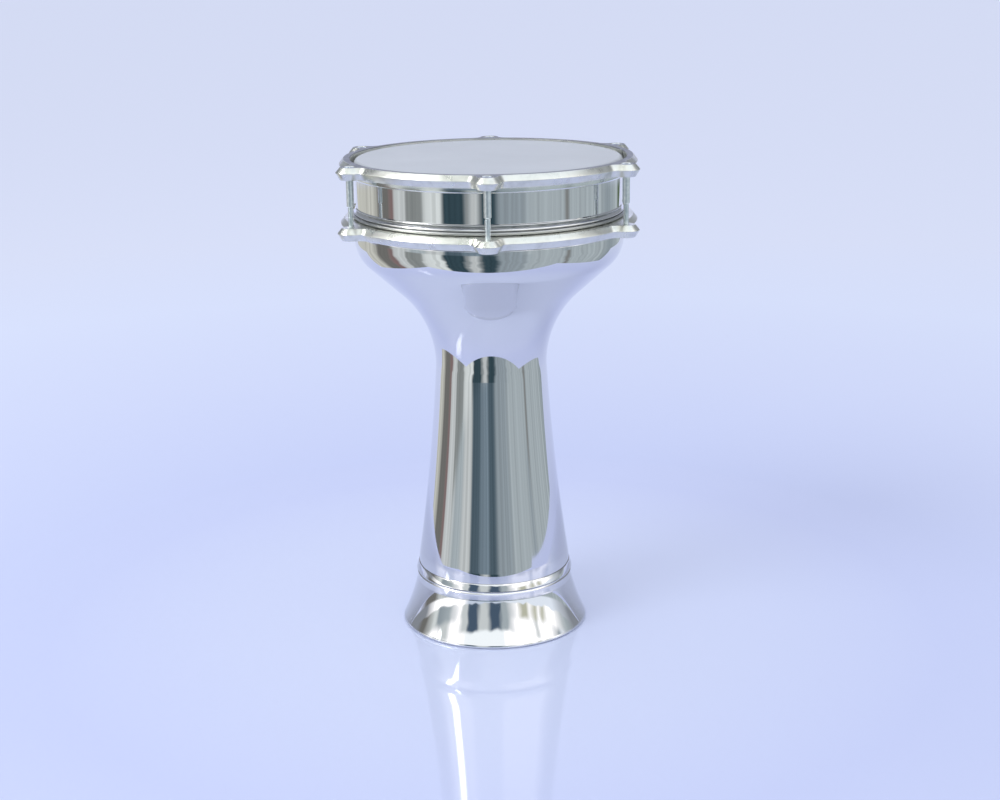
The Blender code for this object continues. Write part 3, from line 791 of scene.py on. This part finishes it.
def bolt_thread(bm):
    """The thread's ridge, one section carried round and down by its pitch."""
    root = THREAD_RADIUS - 0.5 * MM
    start = SHOULDER_Z - 0.9 * MM
    steps_per_turn = 20
    turns = int((start - BOLT_END_Z - 0.6 * MM) / THREAD_PITCH)
    half_foot = 0.36 * MM
    half_crest = 0.05 * MM
    section = [
        (root, half_foot), (THREAD_RADIUS, half_crest), (THREAD_RADIUS, -half_crest), (root, -half_foot)
    ]
    face = bm.faces.new([bm.verts.new((r, 0, start + z)) for r, z in section])
    bmesh.ops.spin(
        bm,
        geom=[face],
        cent=(0, 0, 0),
        axis=(0, 0, 1),
        dvec=(0, 0, -THREAD_PITCH / steps_per_turn),
        angle=-math.tau * turns,
        steps=turns * steps_per_turn,
        use_merge=False,
    )


def tension_bolts():
    """Six bolts and six washers, each bolt turned a little further than the last."""
    bm = bmesh.new()
    bolt_core(bm)
    bolt_thread(bm)
    pattern = finish_mesh(bm, "bolt_pattern", 30)
    washer_top = WASHER_Z + WASHER
    section = [
        (SHANK_RADIUS + GAP, washer_top), (WASHER_RADIUS, washer_top),
        (WASHER_RADIUS, WASHER_Z), (SHANK_RADIUS + GAP, WASHER_Z),
    ]
    washer = turned("washer_pattern", rounded(section, 0.12 * MM, 3), steps=BOLT_STEPS)
    for number, (x, y) in enumerate(ear_places(), start=1):
        bolt = f"tension_bolt_{number}"
        place = Matrix.Translation((x, y, 0))
        turn = Matrix.Rotation(BOLT_TURN * number, 4, "Z")
        for source, name, body, spot in (
            (pattern, bolt, bolt, place @ turn),
            (washer, f"bolt_washer_{number}", "top_ring", place),
        ):
            piece = source.copy()
            piece.data = source.data.copy()
            piece.name = name + "_fine"
            piece.data.name = piece.name
            piece.data.transform(spot)
            bpy.context.scene.collection.objects.link(piece)
            dress(piece, body, [name], "plated_steel", STEEL)
    for obj in (pattern, washer):
        mesh = obj.data
        bpy.data.objects.remove(obj)
        bpy.data.meshes.remove(mesh)


foot_shell()
body_shell()
collar_shell()
stop_wire()
head_film()
head_hoop()
lower_ring()
top_ring()
tension_bolts()


# Table, surroundings, light and camera

# The table's middle, half width, front edge and fan are in metres. The fan starts and ends at
# these distances behind the drum's middle, and widens the table by TABLE_SPREAD each side.
TABLE_MESH_HALF = 15
TABLE_CENTER = 0.06
TABLE_HALF = 0.55
TABLE_FRONT = -0.385
TABLE_FAN = (0.25, 0.8)
TABLE_SPREAD = 0.6
# The lacquer's shine near the drum, and between which distances from it the shine fades out
TABLE_SHINE = 0.33
TABLE_GLOSS = (0.28, 0.5)
# The table's colours, from the drum outwards, as shares of TABLE_REACH. The changes are painted light and
# shade: darker some way out from the drum, lighter further off.
TABLE_REACH = 2.0
TABLE_LIGHT_AND_SHADE = [
    (0.08, "#D9E2FC"), (0.12, "#D7E0FB"), (0.20, "#D0D9F9"), (0.45, "#DBE3FC"), (0.70, "#E3EBFF"),
    (1.00, "#E6ECFD"),
]
BACK_COLOR = "#D6DBF5"
MATTE_LIGHT = "#F4F6FF"
MATTE_STRENGTH = 0.92

# A made-up room that polished metal sees in front of the table. These are its colours
WALL = "#9FA9AD"
PALE_WALL = "#BABFBF"
WARM_WALL = "#B8B9B1"
SHADED_WALL = "#89949A"
PARTITION = "#70808B"
DOORWAY = "#495963"
DEEP_DOORWAY = "#31434B"
LIT_DOORWAY = "#455668"
POST = "#6A6A67"
CURTAIN = "#7F8483"
CHAIR = "#7D6A69"
SCREEN = "#CCD2D1"
GREENERY = "#56644F"
SHELVES = "#B4B5A3"
FRAME = "#C2C8C8"
SILL = "#DCE4EE"
SHADED_SILL = "#C1CCDC"
BACKDROP = "#C0C7DE"
CORNER = "#80858C"
DAYLIGHT = "#FFFFFF"
WHITE_WALL = "#F1F7F9"
WHITE_CEILING = "#E4EEF9"

# Each thing goes from one angle to another, in degrees round from the camera's side, left
# negative. The first are low down, seen past the table's edge
LOW_THINGS = [
    (-180, -114, WARM_WALL), (-107, -97, POST), (-92, -90, CHAIR), (-86, -77, PALE_WALL),
    (-73, -60, CURTAIN), (-55, -39, SCREEN), (-37, -22, DEEP_DOORWAY), (-14, -12, PALE_WALL),
    (-4, 5, DEEP_DOORWAY), (10, 28, SHADED_WALL), (37, 67, WALL), (71, 71, POST), (75, 110, WALL),
    (121, 125, SHADED_WALL), (140, 144, WALL), (148, 180, GREENERY),
]
# The wall across the room, with its two doorways
WALL_THINGS = [
    (-180, -118, BACKDROP), (-106, -93, POST), (-86, -75, PALE_WALL), (-66, -57, WALL),
    (-51, -38, PALE_WALL), (-35, -24, DOORWAY), (-18, -9, PARTITION), (-4, 3, DOORWAY),
    (9, 26, SHADED_WALL), (33, 62, WALL), (69, 69, SHADED_WALL), (75, 118, WALL),
    (132, 180, BACKDROP),
]
# A ledge all round under the windows
LEDGE_THINGS = [
    (-180, -104, CORNER), (-90, -44, DAYLIGHT), (-37, 8, SHADED_SILL), (16, 84, SILL),
    (112, 180, CORNER),
]
# Small panes and shelves on the ledge
PANE_THINGS = [
    (-180, -112, CORNER), (-105, -100, POST), (-87, -84, SCREEN), (-79, -79, SHADED_WALL),
    (-64, -64, WALL), (-51, -49, DAYLIGHT), (-44, -38, FRAME), (-36, -25, LIT_DOORWAY),
    (-20, -12, FRAME), (-5, 7, LIT_DOORWAY), (10, 16, WALL), (31, 31, DAYLIGHT), (38, 45, SHELVES),
    (50, 50, DAYLIGHT), (56, 56, SHELVES), (62, 62, DAYLIGHT), (67, 67, SHELVES), (75, 84, DAYLIGHT),
    (100, 100, WALL), (114, 180, CORNER),
]
# Tall windows above them, and the doorways' dark heads
WINDOW_THINGS = [
    (-180, -100, CORNER), (-92, -80, DAYLIGHT), (-74, -66, FRAME), (-60, -48, DAYLIGHT),
    (-42, -38, FRAME), (-36, -24, LIT_DOORWAY), (-20, -10, FRAME), (-5, 6, LIT_DOORWAY),
    (10, 17, WALL), (27, 52, DAYLIGHT), (56, 56, FRAME), (60, 78, DAYLIGHT), (86, 86, SHADED_WALL),
    (93, 93, SILL), (108, 180, CORNER),
]
# Daylight above them on both sides, and darker corners behind the drum
UPPER_THINGS = [
    (-180, -112, CORNER), (-93, -42, DAYLIGHT), (-36, 10, WHITE_WALL), (15, 84, DAYLIGHT),
    (110, 180, CORNER),
]
CEILING_THINGS = [
    (-180, -150, WHITE_CEILING), (-78, -78, WHITE_WALL), (-64, -34, FRAME), (-20, 0, WHITE_WALL),
    (60, 180, WHITE_CEILING),
]
# The bands going up: the heights in degrees between which each takes over from the one below,
# and whether that edge sways with the room. The lowest starts straight down
ROOM_BANDS = [
    (LOW_THINGS, -90, -90, False),
    (WALL_THINGS, -8.5, -7.8, False),
    (LEDGE_THINGS, -1.6, -0.6, False),
    (PANE_THINGS, 3.2, 4.2, True),
    (WINDOW_THINGS, 10.0, 13.5, True),
    (UPPER_THINGS, 18.0, 20.5, True),
    (CEILING_THINGS, 44, 54, False),
]
# Old walls aren't straight: things sway this far round, and SWAY_UP of it up, in waves 11
# degrees long. Upright streaks 4 degrees wide make the walls darker and lighter
SWAY = math.radians(1.6)
SWAY_UP = 0.6
SWAY_WAVE = math.radians(11.46)
STREAKS_ROUND = 360 / 4
STREAK_TONES = (0.86, 1.12)
# The backdrop behind the drum starts between these angles round and up
ROOM_BACK = "#C6CCE8"
BACK_TURN = (158, 163)
BACK_HEIGHT = (-7, -3)
# What is lighter than the first of WINDOW_GLOW shines more than the room does
ROOM_STRENGTH = 1.29
WINDOW_STRENGTH = 2.1
WINDOW_GLOW = (0.95, 1.05)
# The strong lamp up on the left: its place, its half width and half height, the share of them
# that is at full strength, and that strength
LAMP_TURN = math.radians(75)
LAMP_HEIGHT = math.radians(36)
LAMP_WIDE = math.radians(7.5)
LAMP_TALL = math.radians(24)
LAMP_CORE = 0.6
LAMP_STRENGTH = 14.0

# A soft light high on the left, in metres and watts
SIDE_LIGHT_PLACE = (-1.6, -1.2, 1.9)
SIDE_LIGHT_AIM = (0, 0, 0.2)
SIDE_LIGHT_SIZE = 1.2
SIDE_LIGHT_WATTS = 14
SIDE_LIGHT_COLOR = "#F7F9FF"

# The camera's place in metres and its turns in radians
CAMERA_PLACE = (0.0136, -1.45, 0.6069)
CAMERA_PITCH = 0.2718
CAMERA_ROLL = -0.0135
CAMERA_YAW = -0.0044
FOCAL_PIXELS = 1696.2
PICTURE_WIDTH = 1000
SENSOR_WIDTH = 36


def mirrored_room(tree, turn, height, sway):
    """The room's colour in every direction: bands of things round the room, one above the other,
    with upright streaks on the two lowest, and the plain backdrop behind the drum."""
    around = add(
        tree, "MapRange", {"From Min": -math.pi, "From Max": math.pi}, {"Value": turn}
    ).outputs["Result"]
    height_sway = add(
        tree, "Math", {"operation": "MULTIPLY_ADD", 1: SWAY_UP}, {0: sway, 2: height}
    ).outputs["Value"]
    streaks = add(
        tree, "TexNoise", {"noise_dimensions": "1D", "Scale": STREAKS_ROUND, "Detail": 4.0}, {"W": around}
    )
    tone = add(
        tree, "MapRange",
        {"From Min": 0.3, "From Max": 0.7, "To Min": STREAK_TONES[0], "To Max": STREAK_TONES[1]},
        {"Value": streaks.outputs["Fac"]},
    )
    room = None
    for things, low, high, sways in ROOM_BANDS:
        edges = sorted({(edge, color) for start, end, color in things for edge in (start, end)})
        band = add(tree, "ValToRGB", {}, {"Fac": around})
        ramp(band, [((edge + 180) / 360, color) for edge, color in edges])
        if room is None:
            room = band.outputs["Color"]
            continue
        reached = add(
            tree, "MapRange",
            {
                "interpolation_type": "SMOOTHSTEP",
                "From Min": math.radians(low), "From Max": math.radians(high),
            },
            {"Value": height_sway if sways else height},
        )
        room = add(
            tree, "MixRGB", {},
            {"Fac": reached.outputs["Result"], "Color1": room, "Color2": band.outputs["Color"]},
        ).outputs["Color"]
        if things is WALL_THINGS:
            room = add(
                tree, "VectorMath", {"operation": "SCALE"},
                {"Vector": room, "Scale": tone.outputs["Result"]},
            ).outputs["Vector"]
    away = add(tree, "Math", {"operation": "ABSOLUTE"}, {0: turn}).outputs["Value"]
    behind = []
    for source, (low, high) in ((away, BACK_TURN), (height, BACK_HEIGHT)):
        reached = add(
            tree, "MapRange",
            {
                "interpolation_type": "SMOOTHSTEP",
                "From Min": math.radians(low), "From Max": math.radians(high),
            },
            {"Value": source},
        )
        behind.append(reached.outputs["Result"])
    behind_drum = add(tree, "Math", {"operation": "MULTIPLY"}, {0: behind[0], 1: behind[1]})
    return add(
        tree, "MixRGB", {"Color2": linear(ROOM_BACK)},
        {"Fac": behind_drum.outputs["Value"], "Color1": room},
    ).outputs["Color"]


def room_strength(tree, room, turn, height):
    """How much the mirrored room shines: the windows more than the walls, and the lamp most."""
    glow = add(tree, "RGBToBW", {}, {"Color": room})
    daylight = add(
        tree, "MapRange",
        {
            "From Min": WINDOW_GLOW[0], "From Max": WINDOW_GLOW[1],
            "To Min": ROOM_STRENGTH, "To Max": WINDOW_STRENGTH,
        },
        {"Value": glow.outputs["Val"]},
    )
    aside = add(
        tree, "Math", {"operation": "MULTIPLY_ADD", 1: 1 / LAMP_WIDE, 2: LAMP_TURN / LAMP_WIDE}, {0: turn}
    )
    aloft = add(
        tree, "Math", {"operation": "MULTIPLY_ADD", 1: 1 / LAMP_TALL, 2: -LAMP_HEIGHT / LAMP_TALL},
        {0: height},
    )
    off_lamp = add(tree, "CombineXYZ", {}, {"X": aside.outputs["Value"], "Y": aloft.outputs["Value"]})
    off_lamp = add(tree, "VectorMath", {"operation": "LENGTH"}, {0: off_lamp.outputs["Vector"]})
    lamp = add(
        tree, "MapRange",
        {"interpolation_type": "SMOOTHSTEP", "From Min": 1.0, "From Max": LAMP_CORE},
        {"Value": off_lamp.outputs["Value"]},
    )
    return add(
        tree, "Math", {"operation": "MULTIPLY_ADD", 1: LAMP_STRENGTH},
        {0: lamp.outputs["Result"], 2: daylight.outputs["Result"]},
    ).outputs["Value"]


def studio_world():
    """An even pale light for matte surfaces. Polished metal sees a room in front of the table:
    a grey wall with two dark blue doorways, bright windows over it, one strong lamp up on the
    left and a white ceiling. Behind the drum it sees the plain backdrop."""
    world = bpy.data.worlds.new("studio")
    bpy.context.scene.world = world
    world.use_nodes = True
    tree = world.node_tree
    tree.nodes.clear()
    direction = add(tree, "TexCoord").outputs["Generated"]
    way = add(tree, "SeparateXYZ", {}, {"Vector": direction})
    toward = add(tree, "Math", {"operation": "MULTIPLY", 1: -1.0}, {0: way.outputs["Y"]})
    turn = add(
        tree, "Math", {"operation": "ARCTAN2"}, {0: way.outputs["X"], 1: toward.outputs["Value"]}
    )
    height = add(tree, "Math", {"operation": "ARCSINE"}, {0: way.outputs["Z"]}).outputs["Value"]
    ripple = add(tree, "TexNoise", {"Scale": 1 / SWAY_WAVE, "Detail": 1.0}, {"Vector": direction})
    sway = add(
        tree, "MapRange", {"From Min": 0.3, "From Max": 0.7, "To Min": -SWAY, "To Max": SWAY},
        {"Value": ripple.outputs["Fac"]},
    ).outputs["Result"]
    turn = add(tree, "Math", {"operation": "ADD"}, {0: turn.outputs["Value"], 1: sway}).outputs["Value"]
    room = mirrored_room(tree, turn, height, sway)
    strength = room_strength(tree, room, turn, height)
    matte = add(tree, "Background", {"Color": linear(MATTE_LIGHT), "Strength": MATTE_STRENGTH})
    mirror = add(tree, "Background", {}, {"Color": room, "Strength": strength})
    behind = add(tree, "Background", {"Color": linear(BACK_COLOR), "Strength": 1.0})
    path = add(tree, "LightPath")
    seen = add(
        tree, "MixShader", {},
        {0: path.outputs["Is Glossy Ray"], 1: matte.outputs[0], 2: mirror.outputs[0]},
    )
    seen = add(
        tree, "MixShader", {},
        {0: path.outputs["Is Camera Ray"], 1: seen.outputs[0], 2: behind.outputs[0]},
    )
    add(tree, "OutputWorld", {}, {"Surface": seen.outputs[0]})


def table():
    """A pale table, glossy where the drum stands and matte further out, with painted light and shade in
    rings round the drum. Metal sees where it ends in front and at the sides. Behind the drum it fans out."""
    material, tree, shader = new_material("pale_lacquered_table", TABLE_LIGHT_AND_SHADE[0][1], 0.0, 0.05)
    spot = add(tree, "TexCoord").outputs["Object"]
    reach = add(tree, "VectorMath", {"operation": "LENGTH"}, {0: spot})
    gloss = add(
        tree, "MapRange",
        {
            "interpolation_type": "SMOOTHSTEP", "From Min": TABLE_GLOSS[0], "From Max": TABLE_GLOSS[1],
            "To Min": TABLE_SHINE, "To Max": 0.0,
        },
        {"Value": reach.outputs["Value"]},
    )
    tree.links.new(gloss.outputs["Result"], shader.inputs["Specular IOR Level"])
    # Painted light and shade on the table, by distance from the drum
    outward = add(tree, "Math", {"operation": "DIVIDE", 1: TABLE_REACH}, {0: reach.outputs["Value"]})
    painted_light_and_shade = add(tree, "ValToRGB", {}, {"Fac": outward.outputs["Value"]})
    ramp(painted_light_and_shade, TABLE_LIGHT_AND_SHADE)
    tree.links.new(painted_light_and_shade.outputs["Color"], shader.inputs["Base Color"])
    place = add(tree, "SeparateXYZ", {}, {"Vector": spot})
    aside = add(tree, "Math", {"operation": "SUBTRACT", 1: TABLE_CENTER}, {0: place.outputs["X"]})
    aside = add(tree, "Math", {"operation": "ABSOLUTE"}, {0: aside.outputs["Value"]})
    fan = add(
        tree, "MapRange",
        {"From Min": TABLE_FAN[0], "From Max": TABLE_FAN[1], "To Min": 0.0, "To Max": TABLE_SPREAD},
        {"Value": place.outputs["Y"]},
    )
    past_side = add(
        tree, "Math", {"operation": "SUBTRACT"}, {0: aside.outputs["Value"], 1: fan.outputs["Result"]}
    )
    beside = add(
        tree, "Math", {"operation": "GREATER_THAN", 1: TABLE_HALF}, {0: past_side.outputs["Value"]}
    )
    before = add(tree, "Math", {"operation": "LESS_THAN", 1: TABLE_FRONT}, {0: place.outputs["Y"]})
    beyond = add(
        tree, "Math", {"operation": "MAXIMUM"}, {0: beside.outputs["Value"], 1: before.outputs["Value"]}
    )
    path = add(tree, "LightPath")
    open_to_room = add(
        tree, "Math", {"operation": "MULTIPLY"},
        {0: beyond.outputs["Value"], 1: path.outputs["Is Glossy Ray"]},
    )
    clear = add(tree, "BsdfTransparent")
    mix = add(
        tree, "MixShader", {},
        {0: open_to_room.outputs["Value"], 1: shader.outputs[0], 2: clear.outputs[0]},
    )
    tree.links.new(mix.outputs[0], tree.nodes["Material Output"].inputs["Surface"])
    bm = bmesh.new()
    bmesh.ops.create_grid(bm, x_segments=1, y_segments=1, size=TABLE_MESH_HALF)
    mesh = bpy.data.meshes.new("table")
    bm.to_mesh(mesh)
    bm.free()
    mesh.materials.append(material)
    top = bpy.data.objects.new("table", mesh)
    bpy.context.scene.collection.objects.link(top)


def side_light():
    """A soft light from a window high on the left. Metal doesn't see the lamp itself."""
    lamp = bpy.data.lights.new("window_left", "AREA")
    lamp.shape = "DISK"
    lamp.size = SIDE_LIGHT_SIZE
    lamp.energy = SIDE_LIGHT_WATTS
    lamp.color = linear(SIDE_LIGHT_COLOR)[:3]
    obj = bpy.data.objects.new("window_left", lamp)
    obj.location = SIDE_LIGHT_PLACE
    aim = Vector(SIDE_LIGHT_AIM) - Vector(SIDE_LIGHT_PLACE)
    obj.rotation_euler = aim.to_track_quat("-Z", "Y").to_euler()
    obj.visible_glossy = False
    bpy.context.scene.collection.objects.link(obj)


def camera():
    """The photograph's view: 1.45 m in front, 0.61 m up, looking 15.6 degrees down."""
    level = math.cos(CAMERA_PITCH)
    forward = Vector((math.sin(CAMERA_YAW) * level, math.cos(CAMERA_YAW) * level, -math.sin(CAMERA_PITCH)))
    right = Vector((math.cos(CAMERA_YAW), -math.sin(CAMERA_YAW), 0))
    up = right.cross(forward)
    rolled_right = right * math.cos(CAMERA_ROLL) + up * math.sin(CAMERA_ROLL)
    rolled_up = up * math.cos(CAMERA_ROLL) - right * math.sin(CAMERA_ROLL)
    lens = bpy.data.cameras.new("camera")
    lens.sensor_width = SENSOR_WIDTH
    lens.lens = SENSOR_WIDTH * FOCAL_PIXELS / PICTURE_WIDTH
    obj = bpy.data.objects.new("camera", lens)
    turn = Matrix((rolled_right, rolled_up, -forward)).transposed()
    obj.matrix_world = Matrix.Translation(CAMERA_PLACE) @ turn.to_4x4()
    bpy.context.scene.collection.objects.link(obj)
    bpy.context.scene.camera = obj


studio_world()
table()
side_light()
camera()
bpy.context.scene.view_settings.view_transform = "Standard"
